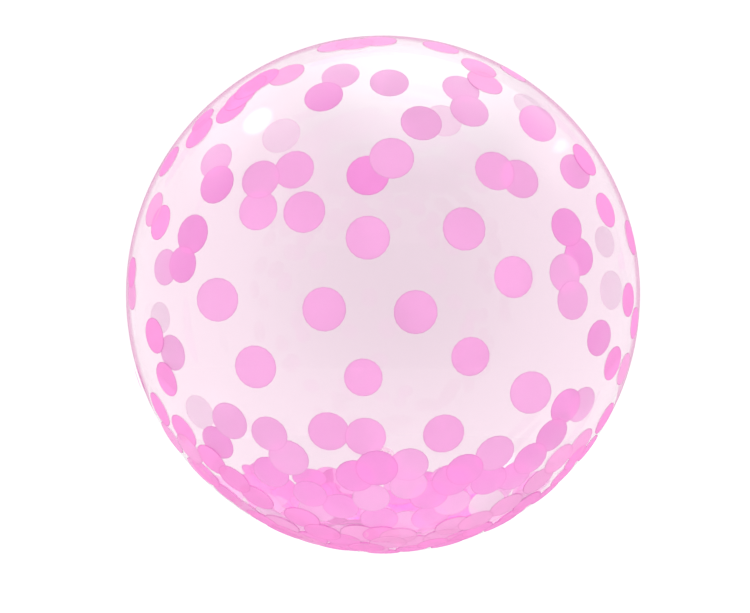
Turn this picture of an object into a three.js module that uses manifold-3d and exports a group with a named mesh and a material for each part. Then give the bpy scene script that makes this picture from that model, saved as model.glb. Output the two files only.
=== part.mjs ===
// Clear bubble balloon with its gathered filling neck, one sealed solid.
// Millimetres, +Z up, origin at the middle of the flat resting spot, +Y towards the back.

import * as THREE from "three";
import { mergeVertices } from "three/addons/utils/BufferGeometryUtils.js";
import Module from "manifold-3d";

// Inflated size: a little taller than wide, and a little shallower from front to back.
const WIDTH = 460;
const HEIGHT = 463.5;
const DEPTH = 0.9 * WIDTH;
const ROUND_SEGMENTS = 72;
const RINGS_FRONT_TO_BACK = 36;

// The film lies flat on whatever the balloon rests on, over a spot this deep.
const RESTING_SAG = 3.2;
const CENTRE_HEIGHT = HEIGHT / 2 - RESTING_SAG;

// Filling neck: leaves the back of the balloon low down, square to the film.
const NECK_DROP_ANGLE = THREE.MathUtils.degToRad(47);
const NECK_ROOT_RADIUS = 24;
const NECK_WAIST_RADIUS = 4.2;
const NECK_ROOT_SINK = 6;
const NECK_WAIST_AT = 16;
const TAIL_WIDTH = 19;
const TAIL_THICKNESS = 2.4;
const TAIL_STARTS_AT = 27;
const TAIL_ENDS_AT = 46;
const NECK_SIDES = 32;
const NECK_STEPS = 26;
const GATHER_FOLDS = 8;
const GATHER_DEPTH = 0.16;
const MIDDLE_OF_CAP = 0.1;

const wasm = await Module();
wasm.setup();

function toManifold(geometry) {
  const bare = geometry.clone();
  bare.deleteAttribute("normal");
  bare.deleteAttribute("uv");
  const merged = mergeVertices(bare, 1e-4);
  return new wasm.Manifold(
    new wasm.Mesh({
      numProp: 3,
      vertProperties: new Float32Array(merged.attributes.position.array),
      triVerts: new Uint32Array(merged.index.array),
    })
  );
}

function toGeometry(manifold) {
  const mesh = manifold.getMesh();
  const indexed = new THREE.BufferGeometry();
  indexed.setAttribute("position", new THREE.BufferAttribute(mesh.vertProperties, 3));
  indexed.setIndex(new THREE.BufferAttribute(mesh.triVerts, 1));
  const geometry = indexed.toNonIndexed();
  geometry.computeVertexNormals();
  return geometry;
}

// Smooth step from 0 to 1 as t goes from a to b.
function ease(t, a, b) {
  return THREE.MathUtils.smoothstep(t, a, b);
}

// The blown envelope, with the sphere's poles at the middle of the front and of the back.
function envelope() {
  const ball = new THREE.SphereGeometry(1, ROUND_SEGMENTS, RINGS_FRONT_TO_BACK);
  ball.scale(WIDTH / 2, DEPTH / 2, HEIGHT / 2);
  ball.translate(0, 0, CENTRE_HEIGHT);
  return ball;
}

// Half width and half thickness of the neck at a distance out from the film.
function neckSection(out) {
  const gathered = ease(out, -NECK_ROOT_SINK, NECK_WAIST_AT);
  const cone = THREE.MathUtils.lerp(NECK_ROOT_RADIUS, NECK_WAIST_RADIUS, Math.pow(gathered, 0.55));
  const flattened = ease(out, NECK_WAIST_AT, TAIL_STARTS_AT);
  return {
    wide: THREE.MathUtils.lerp(cone, TAIL_WIDTH / 2, flattened),
    thick: THREE.MathUtils.lerp(cone, TAIL_THICKNESS / 2, flattened),
    flattened,
  };
}

// Gathered cone, waist and flat sealed tail along +Z, before it is set against the film.
function neck() {
  const length = TAIL_ENDS_AT + NECK_ROOT_SINK;
  const tube = new THREE.CylinderGeometry(1, 1, length, NECK_SIDES, NECK_STEPS);
  tube.rotateX(Math.PI / 2);
  tube.translate(0, 0, length / 2 - NECK_ROOT_SINK);
  const place = tube.attributes.position;
  for (let i = 0; i < place.count; i += 1) {
    const across = new THREE.Vector2(place.getX(i), place.getY(i));
    const out = place.getZ(i);
    const { wide, thick, flattened } = neckSection(out);
    const gather = GATHER_DEPTH * (1 - flattened) * ease(out, 0, NECK_WAIST_AT);
    const fold = 1 + gather * Math.cos(GATHER_FOLDS * across.angle());
    const corner = 1 / Math.max(Math.abs(across.x), Math.abs(across.y), MIDDLE_OF_CAP);
    const reach = THREE.MathUtils.lerp(fold, corner, flattened);
    place.setX(i, across.x * reach * wide);
    place.setY(i, across.y * reach * thick);
  }
  return tube;
}

// Sets a form that points along +Z square to the film, low at the back.
function atBack(form) {
  const y = (DEPTH / 2) * Math.cos(NECK_DROP_ANGLE);
  const z = -(HEIGHT / 2) * Math.sin(NECK_DROP_ANGLE);
  const outwards = new THREE.Vector3(0, y / (DEPTH / 2) ** 2, z / (HEIGHT / 2) ** 2).normalize();
  const turn = new THREE.Quaternion().setFromUnitVectors(new THREE.Vector3(0, 0, 1), outwards);
  form.applyQuaternion(turn);
  form.translate(0, y, CENTRE_HEIGHT + z);
  return form;
}

function belowTheFloor() {
  const block = new THREE.BoxGeometry(2 * WIDTH, 2 * WIDTH, 40);
  block.translate(0, 0, -20);
  return block;
}

const solid = toManifold(envelope())
  .add(toManifold(atBack(neck())))
  .subtract(toManifold(belowTheFloor()));

const film = new THREE.MeshStandardMaterial({
  color: 0xf6e6ee,
  roughness: 0.05,
  metalness: 0,
  transparent: true,
  opacity: 0.35,
});

const balloon = new THREE.Mesh(toGeometry(solid), film);
balloon.name = "balloon";

const part = new THREE.Group();
part.add(balloon);

export default part;
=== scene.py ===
"""A clear bubble balloon with pink paper dots sealed inside, resting on a white studio floor."""

import math
import random

import bmesh
import bpy
from mathutils import Matrix, Vector, noise


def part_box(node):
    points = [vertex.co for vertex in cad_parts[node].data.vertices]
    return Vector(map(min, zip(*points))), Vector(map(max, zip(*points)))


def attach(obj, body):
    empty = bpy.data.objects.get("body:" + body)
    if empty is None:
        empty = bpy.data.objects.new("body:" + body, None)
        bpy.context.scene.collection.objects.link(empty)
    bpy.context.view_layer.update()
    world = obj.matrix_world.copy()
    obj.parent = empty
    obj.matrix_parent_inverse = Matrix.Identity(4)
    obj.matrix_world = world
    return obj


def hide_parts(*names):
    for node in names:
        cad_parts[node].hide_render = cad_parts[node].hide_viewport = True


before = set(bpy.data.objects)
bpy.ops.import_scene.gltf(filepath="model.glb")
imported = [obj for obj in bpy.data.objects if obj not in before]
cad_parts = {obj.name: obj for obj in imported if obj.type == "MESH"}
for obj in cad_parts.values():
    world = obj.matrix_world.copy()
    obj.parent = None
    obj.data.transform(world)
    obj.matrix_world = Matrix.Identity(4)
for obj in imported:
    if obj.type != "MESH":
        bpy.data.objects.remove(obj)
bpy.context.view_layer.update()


# ---- Camera ------------------------------------------------------------------------------
# A long lens, a little above the middle of the balloon. It is aimed slightly below and to the
# left of that middle, which puts the balloon a little right of the middle of the view.
SENSOR = 36.0
CAMERA_RAISED = math.radians(6)
# The balloon's width as a share of the view's width.
SHARE_OF_VIEW = 0.688
# These three are in half widths of the balloon.
AWAY = 9.5
AIMED_LEFT = 0.031
AIMED_BELOW = 0.045
# The film lies flat over a spot where it rests, so the full round shape reaches a little lower.
RESTING_SAG = 0.0032

HIGH = Vector(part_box("balloon")[1])
HALF = Vector((HIGH.x, HIGH.y, (HIGH.z + RESTING_SAG) / 2))
MIDDLE = Vector((0, 0, HIGH.z - HALF.z))
CAMERA_AWAY = AWAY * HALF.x
EYE = MIDDLE + CAMERA_AWAY * Vector((0, -math.cos(CAMERA_RAISED), math.sin(CAMERA_RAISED)))
LENS = (MIDDLE - EYE).normalized()

camera_data = bpy.data.cameras.new("studio_camera")
camera_data.sensor_width = SENSOR
camera_data.lens = SHARE_OF_VIEW * SENSOR / 2 / math.tan(math.asin(HALF.x / CAMERA_AWAY))
camera = bpy.data.objects.new("studio_camera", camera_data)
bpy.context.scene.collection.objects.link(camera)
aim = MIDDLE + Vector((-AIMED_LEFT * HALF.x, 0, -AIMED_BELOW * HALF.x))
camera.location = EYE
camera.rotation_euler = (aim - EYE).to_track_quat("-Z", "Y").to_euler()
bpy.context.scene.camera = camera
bpy.context.scene.view_settings.view_transform = "Standard"


# ---- Studio floor ------------------------------------------------------------------------
# A round table top of white acrylic sheet, sanded matt and lit from below. The balloon rests on
# it loose, and it shows no edge and no shadow against the white surround.
FLOOR_RADIUS = 0.62
FLOOR_SIDES = 96
FLOOR_DROP = 0.0004
FLOOR_GLOW = 1.1


def linear(hex_colour):
    """An sRGB hex colour as linear red, green, blue and alpha."""
    parts = [int(hex_colour[i : i + 2], 16) / 255 for i in (0, 2, 4)]
    return tuple(p / 12.92 if p <= 0.04045 else ((p + 0.055) / 1.055) ** 2.4 for p in parts) + (1.0,)


bpy.ops.object.select_all(action="DESELECT")
bpy.ops.mesh.primitive_circle_add(
    vertices=FLOOR_SIDES, radius=FLOOR_RADIUS, fill_type="NGON", location=(0, 0, -FLOOR_DROP)
)
floor = bpy.context.object
floor.name = "studio_floor"

# Acrylic lit from below gives an even white with no gloss. Its own colour is kept dark, so that
# the fill lamps hardly show on it.
lit_acrylic = bpy.data.materials.new("lit_white_acrylic_table")
lit_acrylic.use_nodes = True
floor_shader = lit_acrylic.node_tree.nodes["Principled BSDF"]
floor_shader.inputs["Base Color"].default_value = linear("303030")
floor_shader.inputs["Roughness"].default_value = 0.9
floor_shader.inputs["Specular IOR Level"].default_value = 0.0
floor_shader.inputs["Emission Color"].default_value = (1, 1, 1, 1)
floor_shader.inputs["Emission Strength"].default_value = FLOOR_GLOW
lit_acrylic.cycles.emission_sampling = "NONE"
floor.data.materials.append(lit_acrylic)
floor.visible_shadow = False


# ---- White surround ----------------------------------------------------------------------
# White walls with one wide softbox overhead, a little behind the balloon, and two narrow soft
# lamps that glint in the film. Behind stands a lit backdrop with a pale pink board round it.
SEEN_WHITE = 1.05
FRONT_LIGHT = 0.92
SIDE_LIGHT = 1.15
SOFTBOX_LIGHT = 1.65
BACKDROP_MIDDLE = Vector((0.012, 1, -0.09)).normalized()
BACKDROP_MIDDLE_LIGHT = 1.03
BACKDROP_LIGHT = 1.24
TOP_GLOW_MIDDLE = Vector((0.015, 1, -0.004)).normalized()
TOP_GLOW_LIGHT = 0.34
TOP_GLOW_COLOUR = linear("F2FFF8")
BOARD_MIDDLE = Vector((0, 1, -0.105)).normalized()
BOARD_SHADE = 0.15
BOARD_COLOUR = linear("FFCDEB")
# Each lamp's direction, its half width and half height in degrees, and its brightness.
GLINT_LAMPS = (
    ((-0.578, 0.282, 0.754), 5.5, 10, 6),
    ((0.69, 0.515, 0.505), 1.8, 12, 1.2),
)
TIMES = {"operation": "MULTIPLY"}


def add_node(tree, kind, settings=None, links=None, out=0):
    """Adds a node with its options and socket values, links its sockets, and gives an output."""
    node = tree.nodes.new(kind)
    for key, value in (settings or {}).items():
        if isinstance(key, str) and hasattr(node, key):
            setattr(node, key, value)
        else:
            node.inputs[key].default_value = value
    for key, source in (links or {}).items():
        tree.links.new(source, node.inputs[key])
    return node.outputs[out]


surround = bpy.data.worlds.new("white_surround")
bpy.context.scene.world = surround
surround.use_nodes = True
surround.cycles.sampling_method = "NONE"
sky = surround.node_tree
towards = add_node(sky, "ShaderNodeTexCoord", out="Generated")
to_back = add_node(sky, "ShaderNodeSeparateXYZ", links={0: towards}, out="Y")
upwards = add_node(sky, "ShaderNodeSeparateXYZ", links={0: towards}, out="Z")


def panel(*fades):
    """A soft-edged panel of light. Each fade gives what it goes by, where it starts and ends, and
    the light before and after. Several fades are multiplied."""
    light = None
    for value, start, end, before, after in fades:
        settings = {"interpolation_type": "SMOOTHSTEP", "From Min": start, "From Max": end}
        settings.update({"To Min": before, "To Max": after})
        fade = add_node(sky, "ShaderNodeMapRange", settings, {0: value})
        light = add_node(sky, "ShaderNodeMath", TIMES, {0: light, 1: fade}) if light else fade
    return light


def oval_lamp(place, wide, tall, strength):
    """A soft oval lamp of the surround, upright as the camera sees it."""
    place = Vector(place).normalized()
    across = LENS.cross(place).normalized()
    axes = (across / math.radians(wide), across.cross(place) / math.radians(tall), place)
    along = {}
    for socket, axis in enumerate(axes):
        settings = {"operation": "DOT_PRODUCT", 1: axis}
        along[socket] = add_node(sky, "ShaderNodeVectorMath", settings, {0: towards}, out="Value")
    offset = add_node(sky, "ShaderNodeCombineXYZ", links=along)
    settings = {"operation": "DISTANCE", 1: (0, 0, 1)}
    reach = add_node(sky, "ShaderNodeVectorMath", settings, {0: offset}, out="Value")
    return panel((reach, 0.2, 1, strength, 0))


# How far a direction is off the middle of each round panel behind the balloon.
off_backdrop, off_glow, off_board = (
    add_node(sky, "ShaderNodeVectorMath", {"operation": "DISTANCE", 1: middle}, {0: towards}, out="Value")
    for middle in (BACKDROP_MIDDLE, TOP_GLOW_MIDDLE, BOARD_MIDDLE)
)
walls = panel((to_back, -0.95, -0.45, FRONT_LIGHT, SIDE_LIGHT))
softbox = panel(
    (upwards, 0.35, 0.6, 0, SOFTBOX_LIGHT - SIDE_LIGHT),
    (to_back, -0.1, 0.25, 0, 1),
    (to_back, 0.68, 0.72, 1, 0),
)
# The backdrop is dimmer in its middle, and has a small bright glow near its top.
backdrop = panel(
    (off_backdrop, 0.01, 0.12, BACKDROP_MIDDLE_LIGHT - SIDE_LIGHT, BACKDROP_LIGHT - SIDE_LIGHT),
    (off_backdrop, 0.16, 0.24, 1, 0),
)
top_glow = panel((off_glow, 0.01, 0.055, TOP_GLOW_LIGHT, 0))
# The board shows only as a thin line, where the film turns away.
board = panel((off_board, 0.14, 0.2, 0, 1), (off_board, 0.4, 0.58, 1, 0))
shade = add_node(sky, "ShaderNodeMath", {**TIMES, 1: -BOARD_SHADE}, {0: board})

brightness = walls
for light in (softbox, backdrop, top_glow, shade, *(oval_lamp(*lamp) for lamp in GLINT_LAMPS)):
    brightness = add_node(sky, "ShaderNodeMath", {"operation": "ADD"}, {0: brightness, 1: light})

# Seen directly, the surround is plain white, and all of the above shows in the film alone.
seen = add_node(sky, "ShaderNodeLightPath", out="Is Camera Ray")
in_film = add_node(sky, "ShaderNodeMath", {"operation": "SUBTRACT", 0: 1}, {1: seen})
shown = add_node(sky, "ShaderNodeMix", {"data_type": "FLOAT", 3: SEEN_WHITE}, {0: seen, 2: brightness})
sky.links.new(shown, sky.nodes["Background"].inputs["Strength"])
hue = None
for colour, area in ((TOP_GLOW_COLOUR, panel((off_glow, 0.02, 0.08, 1, 0))), (BOARD_COLOUR, board)):
    area = add_node(sky, "ShaderNodeMath", TIMES, {0: area, 1: in_film})
    settings = {"data_type": "RGBA", 6: (1, 1, 1, 1), 7: colour}
    links = {0: area, 6: hue} if hue else {0: area}
    hue = add_node(sky, "ShaderNodeMix", settings, links, out=2)
sky.links.new(hue, sky.nodes["Background"].inputs["Color"])


# ---- Fill lamps --------------------------------------------------------------------------
# Four far lamps with wide soft heads, in front, low down and behind. They light the paper dots
# evenly from all round, and none of them shows in the film.
LAMP_SPREAD = math.radians(100)

for name, place, strength in (
    ("front_fill_left", (-1.2, -1.6, 0.75), 1.8),
    ("front_fill_right", (1.2, -1.6, 0.75), 1.8),
    ("low_fill", (0, -0.8, -1.3), 1.25),
    ("back_fill", (0, 1.6, 0.5), 1.8),
):
    lamp_data = bpy.data.lights.new(name, "SUN")
    lamp_data.energy = strength
    lamp_data.angle = LAMP_SPREAD
    lamp = bpy.data.objects.new(name, lamp_data)
    bpy.context.scene.collection.objects.link(lamp)
    lamp.location = MIDDLE + Vector(place)
    lamp.rotation_euler = (-Vector(place)).to_track_quat("-Z", "Y").to_euler()
    lamp.visible_glossy = False
    lamp.visible_transmission = False


# ---- Film envelope with its filling neck -------------------------------------------------
# One bubble of clear PVC film, about a tenth of a millimetre thick, stretched round by the air in
# it. It is filled through a gathered neck low at the back, whose tail is pressed flat and sealed.
ROUND_SEGMENTS = 160
RINGS = 100
# Twice the real thickness, which keeps its two faces well apart.
FILM_THICKNESS = 0.0002
# Faint dents: how deep each kind is, and how many there are to a half width of the balloon.
DENTS = ((0.0002, 3.1), (0.00015, 7.7))
NECK_DROP = math.radians(47)
NECK_ROOT_RADIUS = 0.024
NECK_WAIST_RADIUS = 0.0042
NECK_WAIST_AT = 0.016
NECK_STEPS = 30
FLARE_STEPS = 14
GATHERS = 8
GATHER_DEPTH = 0.16
FINE_GATHERS = 21
FINE_GATHER_SHARE = 0.4
MILKY_FROM = 0.003
TAIL_WIDTH = 0.019
TAIL_THICKNESS = 0.0024
TAIL_STARTS_AT = 0.027
TAIL_ENDS_AT = 0.046

NECK_ROOT = MIDDLE + Vector((0, HALF.y * math.cos(NECK_DROP), -HALF.z * math.sin(NECK_DROP)))
NECK_OUT = Vector((0, math.cos(NECK_DROP) / HALF.y, -math.sin(NECK_DROP) / HALF.z)).normalized()
NECK_ACROSS = Vector((1, 0, 0))
NECK_THICK = NECK_OUT.cross(NECK_ACROSS)


def ease(value, start, end):
    """Smooth step from 0 at start to 1 at end."""
    t = min(max((value - start) / (end - start), 0), 1)
    return t * t * (3 - 2 * t)


def mix(a, b, share):
    return a + (b - a) * share


def neck_point(out, angle):
    """A point of the neck at a distance out from the film and an angle around it."""
    rise = min(max(out / NECK_WAIST_AT, 0), 1)
    flare = mix(NECK_ROOT_RADIUS, NECK_WAIST_RADIUS, (1 - (1 - rise) ** 2) ** 0.5)
    out -= flare**2 / 2 / HALF.y * (1 - rise)
    flat = ease(out, NECK_WAIST_AT, TAIL_STARTS_AT)
    depth = GATHER_DEPTH * (1 - flat) * ease(out, 0, NECK_WAIST_AT)
    gather = 1 + depth * math.cos(GATHERS * angle)
    gather += FINE_GATHER_SHARE * depth * math.cos(FINE_GATHERS * angle + 1)
    x, y = math.cos(angle), math.sin(angle)
    corner = 1 / max(abs(x), abs(y))
    reach = mix(gather, corner, flat)
    wide = mix(flare, TAIL_WIDTH / 2, flat)
    thick = mix(flare, TAIL_THICKNESS / 2, flat)
    return NECK_ROOT + NECK_OUT * out + NECK_ACROSS * x * reach * wide + NECK_THICK * y * reach * thick


def dent(direction):
    """How far the film falls short of the full round shape in a direction from the middle."""
    return sum(depth * (1 + noise.noise(direction * often)) for depth, often in DENTS)


def film_point(direction):
    """A point of the blown film in a direction from the middle, on a ball of radius 1."""
    point = MIDDLE + Vector(d * h for d, h in zip(direction, HALF))
    point -= direction * dent(direction)
    point.z = max(point.z, 0)
    return point


# A ball of radius 1 is opened at its pole, and the edge is drawn out in rings, 1 apart.
bpy.ops.object.select_all(action="DESELECT")
bpy.ops.mesh.primitive_uv_sphere_add(segments=ROUND_SEGMENTS, ring_count=RINGS, radius=1)
film = bpy.context.object
film.name = "film_envelope"
bpy.ops.object.mode_set(mode="EDIT")
mesh = bmesh.from_edit_mesh(film.data)
opening = math.cos(NECK_ROOT_RADIUS / HALF.x)
bpy.ops.mesh.select_mode(type="VERT")
bpy.ops.mesh.select_all(action="DESELECT")
for vertex in mesh.verts:
    vertex.select = vertex.co.z > opening
mesh.select_flush(True)
bmesh.update_edit_mesh(film.data)
bpy.ops.mesh.delete(type="VERT")
bpy.ops.mesh.select_all(action="DESELECT")
bpy.ops.mesh.select_non_manifold()
for _ in range(NECK_STEPS):
    bpy.ops.mesh.extrude_edges_move(TRANSFORM_OT_translate={"value": (0, 0, 1)})
bpy.ops.mesh.edge_face_add()
bpy.ops.object.mode_set(mode="OBJECT")

# The rings become the neck, closest together in its flare, and the ball becomes the blown film.
POLE_TO_NECK = Matrix.Rotation(-(math.pi / 2 + NECK_DROP), 3, "X")
for vertex in film.data.vertices:
    if vertex.co.z > 1:
        step = math.floor(vertex.co.z)
        if step <= FLARE_STEPS:
            out = NECK_WAIST_AT * (1 - math.cos(math.pi / 2 * step / FLARE_STEPS))
        else:
            past_flare = (step - FLARE_STEPS) / (NECK_STEPS - FLARE_STEPS)
            out = mix(NECK_WAIST_AT, TAIL_ENDS_AT, past_flare)
        vertex.co = neck_point(out, math.atan2(vertex.co.y, vertex.co.x))
    else:
        vertex.co = film_point(POLE_TO_NECK @ vertex.co)

bpy.ops.object.mode_set(mode="EDIT")
bpy.ops.mesh.select_all(action="SELECT")
bpy.ops.mesh.normals_make_consistent(inside=False)
bpy.ops.object.mode_set(mode="OBJECT")
bpy.ops.object.shade_smooth()
wall = film.modifiers.new("film_wall", "SOLIDIFY")
wall.thickness = FILM_THICKNESS
wall.offset = -1
bpy.ops.object.modifier_apply(modifier="film_wall")

# Clear PVC film, blown and stretched tight: see-through and glossy, with clean glints, a thin
# darker line round its outline, and a faint pink cast.
clear_film = bpy.data.materials.new("stretched_clear_pvc_film")
clear_film.use_nodes = True
film_shader = clear_film.node_tree.nodes["Principled BSDF"]
film_shader.inputs["Base Color"].default_value = linear("F4E8EF")
film_shader.inputs["Transmission Weight"].default_value = 1.0
film_shader.inputs["IOR"].default_value = 1.5
film_shader.inputs["Roughness"].default_value = 0.02
# The same film where it is gathered: its many folds scatter the light, and it looks milky.
gathered_film = bpy.data.materials.new("gathered_milky_pvc_film")
gathered_film.use_nodes = True
neck_shader = gathered_film.node_tree.nodes["Principled BSDF"]
neck_shader.inputs["Base Color"].default_value = linear("F2E2EA")
neck_shader.inputs["Transmission Weight"].default_value = 0.55
neck_shader.inputs["IOR"].default_value = 1.5
neck_shader.inputs["Roughness"].default_value = 0.2
film.data.materials.append(clear_film)
film.data.materials.append(gathered_film)
for face in film.data.polygons:
    face.material_index = (face.center - NECK_ROOT).dot(NECK_OUT) > MILKY_FROM
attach(film, "root")
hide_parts("balloon")
film.visible_shadow = False


# ---- Paper dots --------------------------------------------------------------------------
# Round dots of pink tissue paper, 38 mm across, slightly cupped by the punch and loose in the
# film. Static holds many of them against it, front and back, and the rest lie in a heap below.
DOT_RADIUS = 0.019
# Several times as thick as real tissue, so that a dot seen edge-on still shows.
DOT_THICKNESS = 0.00025
OUTLINE_DOT_THICKNESS = 0.0001
DOT_SIDES = 18
# How much lower than its middle the edge of a dot is, for each pattern of dot.
CUPPED = (0.0008, 0.0012, 0.0002, 0.0018)
# Where the darkening towards the edge begins and is full, as shares of the radius.
DARKER_EDGE_FROM = 0.93
DARKER_EDGE_FULL = 0.985
# Single fibres are too fine to show, so the cloudy patches that they form are drawn, about
# 11 mm across.
FIBRE_CLOUDS_TO_A_METRE = 90.0
CLOUD_DEPTH = 0.16
LIGHT_THROUGH = 0.5


def tissue(name, colour, edge_colour, painted_light_under_colour=None):
    """Dyed tissue paper, punched: matt and cloudy with fibres, and darker towards its edge. It lets
    half of its light through, so a dot glows softly where it is lit from behind."""
    paper = bpy.data.materials.new(name)
    paper.use_nodes = True
    tree = paper.node_tree
    shader = tree.nodes["Principled BSDF"]
    shader.inputs["Roughness"].default_value = 0.9
    shader.inputs["Specular IOR Level"].default_value = 0.1
    place = add_node(tree, "ShaderNodeTexCoord", out="Object")
    settings = {"Scale": FIBRE_CLOUDS_TO_A_METRE, "Detail": 4.0}
    clouds = add_node(tree, "ShaderNodeTexNoise", settings, {"Vector": place})
    settings = {"From Min": 0.3, "From Max": 0.7, "To Min": 0.0, "To Max": CLOUD_DEPTH}
    cloudy = add_node(tree, "ShaderNodeMapRange", settings, {0: clouds})
    towards_edge = add_node(tree, "ShaderNodeAttribute", {"attribute_name": "towards_edge"}, out="Fac")
    settings = {"From Min": DARKER_EDGE_FROM, "From Max": DARKER_EDGE_FULL}
    darker_edge = add_node(tree, "ShaderNodeMapRange", settings, {0: towards_edge})
    darker = add_node(tree, "ShaderNodeMath", {"operation": "MAXIMUM"}, {0: darker_edge, 1: cloudy})
    links = {0: darker}
    # An under colour is painted light: the underside is made paler than the top.
    if painted_light_under_colour:
        painted_light_faces = add_node(tree, "ShaderNodeAttribute", {"attribute_name": "painted_light_underside"}, out="Fac")
        settings = {"data_type": "RGBA", 6: linear(colour), 7: linear(painted_light_under_colour)}
        links[6] = add_node(tree, "ShaderNodeMix", settings, {0: painted_light_faces}, out=2)
    settings = {"data_type": "RGBA", 6: linear(colour), 7: linear(edge_colour)}
    tone = add_node(tree, "ShaderNodeMix", settings, links, out=2)
    tree.links.new(tone, shader.inputs["Base Color"])
    through = add_node(tree, "ShaderNodeBsdfTranslucent", links={"Color": tone})
    links = {1: shader.outputs[0], 2: through}
    both = add_node(tree, "ShaderNodeMixShader", {0: LIGHT_THROUGH}, links)
    tree.links.new(both, tree.nodes["Material Output"].inputs["Surface"])
    return paper


# Each paper with its slot. The outer papers are for the dots that lie flat along the film at
# its outline, on its outer face. Their outer side has painted shade, darker than the papers
# inside to make up for the film that covers those. Their underside has painted light, paler to
# make up for the film it is seen through.
OUTER_PINK = tissue("outer_pink_tissue_painted_shade_and_light", "D8A2C7", "CE96BC", "FFE4F8")
OUTER_DEEP = tissue("outer_deep_pink_tissue_painted_shade_and_light", "DA96C7", "D088BB", "FFD6F4")
PAPERS = {
    "pink": (tissue("pink_tissue_paper", "F1C6E9", "E7B6DD"), "pink_paper"),
    "deep": (tissue("deep_pink_tissue_paper", "F1B0E6", "E6A0D8"), "deep_pink_paper"),
    # The heap paper is the deep pink made darker: painted shade, against the light that bounces about
    # inside the heap.
    "heap": (tissue("heaped_pink_tissue_painted_shade", "E5A6D9", "D996CB"), "deep_pink_paper"),
    "outer pink": (OUTER_PINK, "pink_paper"),
    "outer deep": (OUTER_DEEP, "deep_pink_paper"),
    "blush": (tissue("blush_tissue_paper", "EEE5EC", "EADAE5"), "blush_paper"),
}


def punch_dot(cupped, thickness, ringed=False):
    """One dot with its middle at the origin, facing +Z, its edge lower by what it is cupped."""
    bpy.ops.object.select_all(action="DESELECT")
    bpy.ops.mesh.primitive_cylinder_add(
        vertices=DOT_SIDES, radius=DOT_RADIUS, depth=thickness, end_fill_type="NGON"
    )
    dot = bpy.context.object
    bpy.ops.object.mode_set(mode="EDIT")
    bpy.ops.mesh.select_mode(type="FACE")
    mesh = bmesh.from_edit_mesh(dot.data)
    for face in mesh.faces:
        face.select = len(face.verts) > 4
    bmesh.update_edit_mesh(dot.data)
    if ringed:
        bpy.ops.mesh.inset(thickness=DOT_RADIUS / 2)
    bpy.ops.mesh.poke()
    bpy.ops.object.mode_set(mode="OBJECT")
    towards_edge = dot.data.attributes.new("towards_edge", "FLOAT", "POINT")
    for vertex in dot.data.vertices:
        share = vertex.co.xy.length / DOT_RADIUS
        vertex.co.z -= cupped * share**2
        towards_edge.data[vertex.index].value = share
    # Marks the undersides, which the outer papers paint paler as painted light.
    painted_light_underside = dot.data.attributes.new("painted_light_underside", "FLOAT", "FACE")
    for face in dot.data.polygons:
        painted_light_underside.data[face.index].value = face.normal.z < -0.5
    return dot


PATTERNS = [punch_dot(cupped, DOT_THICKNESS) for cupped in CUPPED]
# This one has a ring more, so that it follows the curve of the film.
FILM_CURVE = DOT_RADIUS**2 / 2 / HALF.x
OUTLINE_PATTERN = punch_dot(FILM_CURVE, OUTLINE_DOT_THICKNESS, ringed=True)
dice = random.Random(7)
copies = {paper: [] for paper in PAPERS}


def turned(facing, spin):
    """The turn that makes a dot face a way, after a spin in its own plane."""
    return facing.to_track_quat("Z", "Y").to_matrix().to_4x4() @ Matrix.Rotation(spin, 4, "Z")


def copy_dot(pattern, paper, place, turn, size, thicker=1):
    """Copies a dot, with its own mesh, to a place at a turn and a size."""
    dot = pattern.copy()
    dot.data = pattern.data.copy()
    dot.matrix_world = Matrix.Translation(place) @ turn @ Matrix.Diagonal((size, size, thicker, 1))
    bpy.context.scene.collection.objects.link(dot)
    copies[paper].append(dot)


def film_normal(point):
    """Which way the film faces at a point on it."""
    away = point - MIDDLE
    return Vector(a / h**2 for a, h in zip(away, HALF)).normalized()


def on_ball(point):
    """A point from the balloon's middle, in half widths, half depths and half heights."""
    return Vector(a / h for a, h in zip(point - MIDDLE, HALF))


def sight(across, up, far=False):
    """Where a line of sight from the camera, at a share of the outline, meets the film."""
    outline = 1 / math.cos(math.asin(HALF.x / CAMERA_AWAY))
    side = LENS.cross(Vector((0, 0, 1))).normalized()
    top = side.cross(LENS)
    target = MIDDLE + side * across * HALF.x * outline + top * up * HALF.z * outline
    ray = (target - EYE).normalized()
    start = EYE - MIDDLE
    a = sum((r / h) ** 2 for r, h in zip(ray, HALF))
    b = 2 * sum(r * s / h**2 for r, s, h in zip(ray, start, HALF))
    c = sum((s / h) ** 2 for s, h in zip(start, HALF)) - 1
    root = max(b * b - 4 * a * c, 0) ** 0.5
    return EYE + ray * ((-b + root if far else -b - root) / (2 * a))


# How a dot is moved in until the spots along its rim clear the film and the floor.
RIM_SPOTS = 12
MOST_MOVES = 60
MOVE_INWARD = 0.0005
FLOOR_CLEARANCE = 0.001


def lay_dot(paper, point, facing, spin, gap, size):
    """Lays a dot against the inside of the film, at a gap that its whole rim keeps."""
    turn = turned(facing.normalized(), spin)
    inward = -film_normal(point)
    place = point + inward * gap
    angles = [i * math.tau / RIM_SPOTS for i in range(RIM_SPOTS)]
    rim = [Vector((math.cos(t), math.sin(t), 0)) * DOT_RADIUS * size for t in angles]
    limit = 1 - gap / HALF.y
    for _ in range(MOST_MOVES):
        spots = [place + (turn @ spot) for spot in rim]
        clears_film = max(on_ball(spot).length for spot in spots) < limit
        if clears_film and min(spot.z for spot in spots) > FLOOR_CLEARANCE:
            break
        place += inward * MOVE_INWARD
    copy_dot(dice.choice(PATTERNS), paper, place, turn, size)


# Dots on the film lie in layers, each a little deeper, so that those that overlap lie one over
# another.
FILM_GAP = 0.001
LAYER_STEP = 0.0004
LAYERS_IN_FRONT = 6
LAYERS_BEHIND = 4
USUAL_LEAN = 0.12
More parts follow.
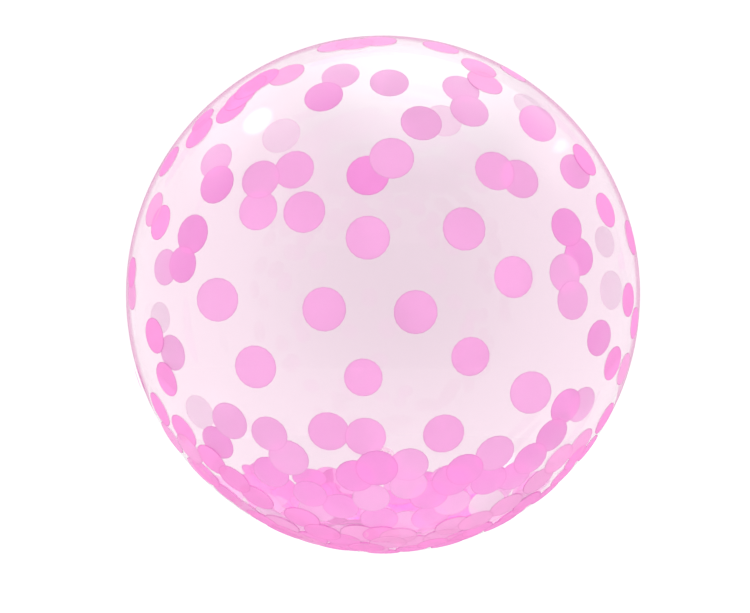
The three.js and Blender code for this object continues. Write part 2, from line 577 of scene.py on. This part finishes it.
# They are smaller near the outline. Past OUTLINE_FROM, those that don't lean in lie flat along
# the film, drawn on its outer face, because the film would bend them out of sight there.
SMALLER_SIZE = 0.87
SMALLER_FROM = 0.66
SMALLER_TO = 0.86
OUTLINE_FROM = 0.9
OUTLINE_GAP = 0.0003
OUTLINE_LAYER_STEP = 0.00001
LEANS_IN = 0.3


def wall_dot(across, up, paper, size=1, lean=USUAL_LEAN, far=False, layer=0):
    """A dot held against the film, seen at a share of the outline across and up."""
    point = sight(across, up, far)
    normal = film_normal(point)
    off_middle = math.hypot(across, up)
    size *= mix(1, SMALLER_SIZE, ease(off_middle, SMALLER_FROM, SMALLER_TO))
    spin = dice.uniform(0, math.tau)
    if off_middle > OUTLINE_FROM and lean < LEANS_IN and not far:
        # Dots at the outline take the outer papers, with painted shade on top and painted light
        # underneath.
        paper = "outer deep" if paper == "deep" else "outer pink"
        place = point + normal * (OUTLINE_GAP + OUTLINE_LAYER_STEP * layer - dent(on_ball(point)))
        copy_dot(OUTLINE_PATTERN, paper, place, turned(normal, spin), size, size * size)
    else:
        to_camera = (EYE - point).normalized() * (-1 if far else 1)
        gap = FILM_GAP + LAYER_STEP * layer
        lay_dot(paper, point, normal.slerp(to_camera, lean), spin, gap, size)


# Each dot's place across and up from the middle, its paper, and where needed its size and lean.
FRONT_DOTS = [
    # open middle
    (-0.232, -0.056, "pink", 0.96), (0.129, -0.067, "pink", 0.95), (-0.06, 0.225, "pink", 0.96),
    (0.322, 0.26, "pink", 0.96), (-0.672, -0.02, "pink", 0.97, 0.5),
    (-0.511, -0.287, "pink", 0.96, 0.3), (0.595, -0.39, "pink", 0.98, 0.5),
    (0.034, 0.534, "pink", 0.98),
    # top
    (0.025, 0.836, "pink"), (-0.17, 0.869, "pink"), (-0.236, 0.782, "deep"),
    (0.153, 0.682, "pink", 0.93), (0.342, 0.723, "pink"), (0.308, 0.807, "pink"), (0.396, 0.82, "pink"),
    (0.372, 0.876, "pink"), (0.225, 0.955, "pink"), (-0.185, 0.96, "pink"), (-0.11, 0.967, "pink"),
    (-0.02, 0.978, "pink"), (0.505, 0.852, "pink", 0.78), (-0.375, 0.85, "pink"), (-0.47, 0.83, "deep"),
    (-0.515, 0.80, "deep"), (-0.555, 0.76, "deep"), (-0.59, 0.715, "deep"), (-0.715, 0.625, "deep"),
    (-0.70, 0.675, "deep", 0.8), (-0.832, 0.515, "deep", 0.92), (-0.665, 0.53, "pink"),
    (-0.66, 0.435, "deep"),
    # left
    (-0.865, 0.28, "deep", 0.95), (-0.89, 0.33, "pink", 0.95), (-0.797, 0.12, "deep", 0.93),
    (-0.76, 0.24, "deep"), (-0.872, 0.11, "pink", 0.95), (-0.975, 0.087, "deep", 0.82),
    (-0.975, 0.0, "pink", 0.8), (-0.888, -0.157, "deep", 0.95), (-0.835, -0.228, "pink", 0.95),
    (-0.841, -0.325, "deep", 0.95),
    # right
    (0.632, 0.695, "deep", 1.1, 0.35), (0.783, 0.522, "deep", 0.96), (0.7755, 0.495, "deep", 0.97, 0.3),
    (0.865, 0.328, "deep", 0.95), (0.73, 0.267, "deep", 0.95), (0.782, 0.152, "deep", 0.96),
    (0.726, 0.087, "pink", 0.9), (0.749, -0.02, "pink", 0.93), (0.961, 0.222, "deep", 0.95),
    (0.953, -0.018, "deep", 0.9), (0.977, -0.108, "deep", 0.85), (0.863, -0.17, "deep", 0.96),
    (0.893, -0.263, "deep", 0.93), (0.935, -0.285, "pink", 0.9), (0.862, -0.475, "deep", 0.95),
    # lower left
    (-0.609, -0.497, "pink"), (-0.66, -0.585, "deep"), (-0.665, -0.635, "deep"),
    (-0.577, -0.71, "deep"), (-0.49, -0.78, "deep"), (-0.45, -0.546, "pink", 0.88),
    (-0.375, -0.643, "pink"), (-0.445, -0.70, "deep"), (-0.29, -0.785, "deep", 0.92),
    (-0.265, -0.855, "pink"), (-0.315, -0.86, "deep"), (-0.392, -0.884, "pink"),
    (-0.29, -0.945, "pink"), (-0.774, -0.525, "deep"), (-0.751, -0.594, "pink"),
    (-0.687, -0.689, "deep"), (-0.867, -0.441, "deep"), (-0.605, -0.768, "deep"),
    (-0.535, -0.82, "pink"), (-0.466, -0.865, "deep"), (-0.951, -0.325, "deep", 0.75),
    (-0.82, -0.55, "pink"), (-0.385, -0.915, "deep"), (-0.71, -0.68, "pink"),
    # bottom
    (-0.168, -0.835, "deep", 0.95), (-0.046, -0.797, "pink", 0.95), (0.102, -0.752, "pink", 0.92),
    (0.104, -0.672, "pink", 0.88), (-0.11, -0.71, "deep", 0.9), (-0.024, -0.678, "deep", 0.95),
    (0.092, -0.895, "pink"), (0.187, -0.875, "deep"), (0.275, -0.82, "pink"), (0.183, -0.79, "deep"),
    (0.324, -0.685, "deep", 0.92), (0.273, -0.728, "deep"), (0.443, -0.622, "pink"),
    (-0.157, -0.945, "deep"), (-0.094, -0.92, "pink"), (-0.005, -0.925, "deep"),
    (-0.015, -0.88, "deep"), (0.116, -0.953, "pink"), (-0.048, -0.977, "pink"), (0.273, -0.89, "pink"),
    (0.226, -0.93, "pink"), (-0.235, -0.915, "deep"), (0.02, -0.955, "pink"), (0.3, -0.93, "deep"),
    (-0.34, -0.925, "pink"), (0.06, -0.93, "pink"),
    # lower right
    (0.42, -0.73, "deep"), (0.523, -0.713, "deep"), (0.582, -0.64, "deep"), (0.669, -0.551, "deep"),
    (0.789, -0.432, "pink"), (0.73, -0.441, "deep"), (0.683, -0.632, "pink"), (0.766, -0.574, "pink"),
    (0.605, -0.715, "pink"), (0.479, -0.81, "pink"), (0.418, -0.835, "blush", 1, 0.3),
    (0.36, -0.87, "pink"),
]
# A chain of dots seen edge-on along the outline, from the lower right to the lower left.
CHAIN_DOTS = 18
CHAIN_STARTS = -36
CHAIN_STEP = 4.4
CHAIN_UNEVEN = 1.5
CHAIN_SHARES = (0.991, 0.975, 0.984)
CHAIN_SIZES = (0.85, 1)
for step in range(CHAIN_DOTS):
    uneven = dice.uniform(-CHAIN_UNEVEN, CHAIN_UNEVEN)
    along = math.radians(CHAIN_STARTS - CHAIN_STEP * step + uneven)
    share = CHAIN_SHARES[step % len(CHAIN_SHARES)]
    size = dice.uniform(*CHAIN_SIZES)
    FRONT_DOTS.append((share * math.cos(along), share * math.sin(along), "deep", size))
for order, dot in enumerate(FRONT_DOTS):
    wall_dot(*dot, layer=order % LAYERS_IN_FRONT)

BACK_DOTS = [
    (0.515, 0.071, "pink", 1.08), (-0.077, -0.32, "pink"), (0.345, -0.24, "pink", 1.02),
    (0.24, -0.543, "pink", 1.07), (-0.214, -0.533, "pink", 1.07), (-0.069, -0.554, "pink", 1.06),
    (-0.311, 0.326, "pink", 1.11), (-0.494, 0.333, "pink", 1.06), (-0.35, 0.49, "pink", 1.05),
    (-0.482, 0.452, "pink", 1.04), (-0.06, 0.47, "deep", 1.1), (0.443, 0.488, "pink", 1.07),
    (0.538, 0.454, "pink", 1.07), (0.237, 0.686, "blush"), (-0.404, 0.627, "blush", 1.07),
    (0.58, 0.745, "blush"), (-0.725, -0.46, "blush", 1.05), (0.879, 0.21, "blush", 0.9),
    (0.91, 0.02, "blush", 1.1), (-0.885, -0.09, "blush", 0.9),
]
for order, dot in enumerate(BACK_DOTS):
    wall_dot(*dot, far=True, layer=order % LAYERS_BEHIND)


def low_point(turn_round, height):
    """A point low on the film, at a turn around the balloon and a height on the ball."""
    flat = (1 - height * height) ** 0.5
    return film_point(Vector((flat * math.cos(turn_round), flat * math.sin(turn_round), height)))


# The heap: dots scattered over the lowest part of the film, thicker towards the bottom. It
# reaches higher at the sides. Its front is more of the darker heap paper and its back more of the
# lighter papers: painted shade and painted light that even out how it is lit in front and behind.
HEAP_DOTS = 210
HEAP_EDGE = -0.85
HEAP_EDGE_AT_SIDES = -0.76
HEAP_PACKING = 1.1
HEAP_WOBBLE = 0.1
HEAP_DEEPEST = 0.0065
HEAP_PAPERS = ("heap", "deep", "pink", "blush")
FRONT_SHARES = (5, 3, 1, 0.2)
BACK_SHARES = (0.3, 6, 3, 0.2)
for _ in range(HEAP_DOTS):
    turn_round = dice.uniform(0, math.tau)
    edge = mix(HEAP_EDGE, HEAP_EDGE_AT_SIDES, math.cos(turn_round) ** 2)
    point = low_point(turn_round, edge - (1 + edge) * dice.random() ** HEAP_PACKING)
    wobble = Vector([dice.gauss(0, HEAP_WOBBLE) for _ in range(3)])
    paper = dice.choices(HEAP_PAPERS, FRONT_SHARES if point.y < 0 else BACK_SHARES)[0]
    spin, gap = dice.uniform(0, math.tau), dice.uniform(FILM_GAP, HEAP_DEEPEST)
    lay_dot(paper, point, film_normal(point) + wobble, spin, gap, SMALLER_SIZE)

# More dots of the heap lean against the film in front, where the outline turns under.
LEANING_DOTS = 56
LEANING_TURNS = (-165, -15)
LEANING_DEPTHS = (0.84, 0.96)
LEANING_DEEPEST = 0.004
for _ in range(LEANING_DOTS):
    turn_round = math.radians(dice.uniform(*LEANING_TURNS))
    point = low_point(turn_round, -dice.uniform(*LEANING_DEPTHS))
    paper = dice.choices(("pink", "deep"), (1, 2))[0]
    spin, gap = dice.uniform(0, math.tau), dice.uniform(FILM_GAP, LEANING_DEEPEST)
    lay_dot(paper, point, film_normal(point), spin, gap, SMALLER_SIZE)

# All the dots of one paper make one piece.
for paper, (material, slot) in PAPERS.items():
    bpy.ops.object.select_all(action="DESELECT")
    for dot in copies[paper]:
        dot.select_set(True)
    dots = copies[paper][0]
    bpy.context.view_layer.objects.active = dots
    bpy.ops.object.join()
    bpy.ops.object.transform_apply(location=True, rotation=True, scale=True)
    bpy.ops.object.shade_smooth_by_angle(angle=math.radians(40))
    dots.name = paper.replace(" ", "_") + "_paper_dots"
    dots.data.materials.append(material)
    dots.visible_shadow = False
    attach(dots, "root")

for pattern in (*PATTERNS, OUTLINE_PATTERN):
    bpy.data.objects.remove(pattern, do_unlink=True)
